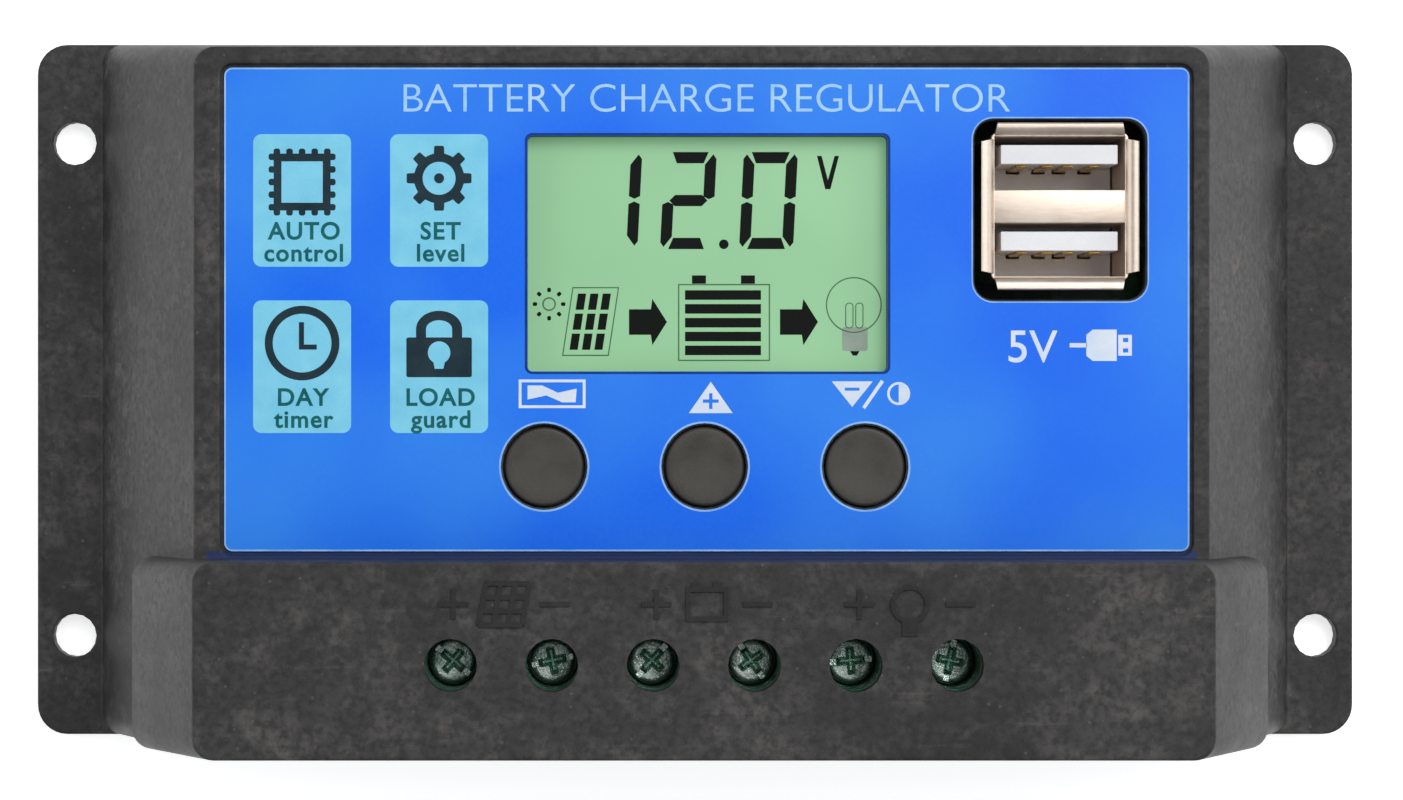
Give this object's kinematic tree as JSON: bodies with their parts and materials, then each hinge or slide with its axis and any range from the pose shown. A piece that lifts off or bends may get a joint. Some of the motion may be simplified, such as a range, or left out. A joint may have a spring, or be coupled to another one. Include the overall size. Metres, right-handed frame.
{
  "type": "solar charge controller",
  "caption": "Flanged wall-mount solar charge controller with a display, push buttons, stacked USB sockets and a row of screw clamps reached through a raised shroud.",
  "frame": {"origin": "centre of the flat back face, in the plane that lies against the wall", "axes": "+X along the length, to the right as the face is read; +Y up the face, away from the terminal shroud; +Z out of the front face"},
  "size_m": [0.1334, 0.07, 0.0353],
  "materials": {
    "housing": "dark grey moulded ABS, fine texture, lightly scuffed",
    "overlay": "blue printed film, satin",
    "plate": "black coated aluminium sheet",
    "board": "green solder mask",
    "display": "pale green reflective display glass",
    "white_plastic": "white moulded plastic",
    "black_plastic": "black moulded plastic",
    "button": "dark brown-grey moulded plastic",
    "tinned": "tin-plated sheet and wire",
    "contact": "gold-flashed spring contacts",
    "terminal": "green moulded plastic",
    "pad": "grey silicone thermal pad",
    "epoxy": "black moulded package",
    "ferrite": "dark ferrite with varnished winding",
    "aluminium": "bare can",
    "dark_steel": "black oxide steel screws",
    "zinc": "zinc-plated steel",
    "brass": "tinned brass bar"
  },
  "bodies": {
    "case": {"back_plate": "plate", "back_plate_screw_1": "dark_steel", "back_plate_screw_2": "dark_steel", "back_plate_screw_3": "dark_steel", "back_plate_screw_4": "dark_steel", "board_screw_1": "dark_steel", "board_screw_2": "dark_steel", "board_screw_3": "dark_steel", "board_screw_4": "dark_steel", "buck_inductor": "ferrite", "circuit_board": "board", "face_overlay": "overlay", "front_housing": "housing", "input_capacitor": "aluminium", "lcd_backlight": "white_plastic", "lcd_frame": "black_plastic", "lcd_glass": "display", "lcd_pin_row": "tinned", "mcu_chip": "epoxy", "mosfet_1": "epoxy", "mosfet_2": "epoxy", "mosfet_3": "epoxy", "mosfet_4": "epoxy", "schottky_diode": "epoxy", "switch_base_1": "black_plastic", "switch_base_2": "black_plastic", "switch_base_3": "black_plastic", "terminal_block": "terminal", "terminal_busbar_1": "brass", "terminal_busbar_2": "brass", "terminal_busbar_3": "brass", "terminal_busbar_4": "brass", "terminal_busbar_5": "brass", "terminal_busbar_6": "brass", "thermal_pad": "pad", "usb_capacitor": "aluminium", "usb_contacts_lower": "contact", "usb_contacts_upper": "contact", "usb_insulator": "white_plastic", "usb_shell": "tinned"},
    "button_body_1": {"button_1": "button", "switch_plunger_1": "button"},
    "button_body_2": {"button_2": "button", "switch_plunger_2": "button"},
    "button_body_3": {"button_3": "button", "switch_plunger_3": "button"},
    "screw_body_1": {"terminal_screw_1": "zinc"},
    "clamp_body_1": {"terminal_clamp_1": "zinc"},
    "screw_body_2": {"terminal_screw_2": "zinc"},
    "clamp_body_2": {"terminal_clamp_2": "zinc"},
    "screw_body_3": {"terminal_screw_3": "zinc"},
    "clamp_body_3": {"terminal_clamp_3": "zinc"},
    "screw_body_4": {"terminal_screw_4": "zinc"},
    "clamp_body_4": {"terminal_clamp_4": "zinc"},
    "screw_body_5": {"terminal_screw_5": "zinc"},
    "clamp_body_5": {"terminal_clamp_5": "zinc"},
    "screw_body_6": {"terminal_screw_6": "zinc"},
    "clamp_body_6": {"terminal_clamp_6": "zinc"}
  },
  "joints": [
    {"name": "button_1_push", "type": "slide", "parent": "case", "child": "button_body_1", "axis": [0, 0, -1], "range_m": [0, 0.0004], "stiffness_N_per_m": 3000, "springref_m": -0.0002},
    {"name": "button_2_push", "type": "slide", "parent": "case", "child": "button_body_2", "axis": [0, 0, -1], "range_m": [0, 0.0004], "stiffness_N_per_m": 3000, "springref_m": -0.0002},
    {"name": "button_3_push", "type": "slide", "parent": "case", "child": "button_body_3", "axis": [0, 0, -1], "range_m": [0, 0.0004], "stiffness_N_per_m": 3000, "springref_m": -0.0002},
    {"name": "terminal_screw_1_turn", "type": "hinge", "parent": "case", "child": "screw_body_1", "pos_m": [-0.02375, -0.0261, 0.025], "axis": [0, 0, 1], "range_deg": [-1981, 0]},
    {"name": "terminal_clamp_1_rise", "type": "slide", "parent": "case", "child": "clamp_body_1", "axis": [0, 0, 1], "range_m": [0, 0.0033]},
    {"name": "terminal_screw_2_turn", "type": "hinge", "parent": "case", "child": "screw_body_2", "pos_m": [-0.01425, -0.0261, 0.025], "axis": [0, 0, 1], "range_deg": [-1981, 0]},
    {"name": "terminal_clamp_2_rise", "type": "slide", "parent": "case", "child": "clamp_body_2", "axis": [0, 0, 1], "range_m": [0, 0.0033]},
    {"name": "terminal_screw_3_turn", "type": "hinge", "parent": "case", "child": "screw_body_3", "pos_m": [-0.00475, -0.0261, 0.025], "axis": [0, 0, 1], "range_deg": [-1981, 0]},
    {"name": "terminal_clamp_3_rise", "type": "slide", "parent": "case", "child": "clamp_body_3", "axis": [0, 0, 1], "range_m": [0, 0.0033]},
    {"name": "terminal_screw_4_turn", "type": "hinge", "parent": "case", "child": "screw_body_4", "pos_m": [0.00475, -0.0261, 0.025], "axis": [0, 0, 1], "range_deg": [-1981, 0]},
    {"name": "terminal_clamp_4_rise", "type": "slide", "parent": "case", "child": "clamp_body_4", "axis": [0, 0, 1], "range_m": [0, 0.0033]},
    {"name": "terminal_screw_5_turn", "type": "hinge", "parent": "case", "child": "screw_body_5", "pos_m": [0.01425, -0.0261, 0.025], "axis": [0, 0, 1], "range_deg": [-1981, 0]},
    {"name": "terminal_clamp_5_rise", "type": "slide", "parent": "case", "child": "clamp_body_5", "axis": [0, 0, 1], "range_m": [0, 0.0033]},
    {"name": "terminal_screw_6_turn", "type": "hinge", "parent": "case", "child": "screw_body_6", "pos_m": [0.02375, -0.0261, 0.025], "axis": [0, 0, 1], "range_deg": [-1981, 0]},
    {"name": "terminal_clamp_6_rise", "type": "slide", "parent": "case", "child": "clamp_body_6", "axis": [0, 0, 1], "range_m": [0, 0.0033]}
  ],
  "couplings": [
    {"joint": "terminal_screw_1_turn", "follows": "terminal_clamp_1_rise", "rad_per_m": -10472},
    {"joint": "terminal_screw_2_turn", "follows": "terminal_clamp_2_rise", "rad_per_m": -10472},
    {"joint": "terminal_screw_3_turn", "follows": "terminal_clamp_3_rise", "rad_per_m": -10472},
    {"joint": "terminal_screw_4_turn", "follows": "terminal_clamp_4_rise", "rad_per_m": -10472},
    {"joint": "terminal_screw_5_turn", "follows": "terminal_clamp_5_rise", "rad_per_m": -10472},
    {"joint": "terminal_screw_6_turn", "follows": "terminal_clamp_6_rise", "rad_per_m": -10472}
  ]
}
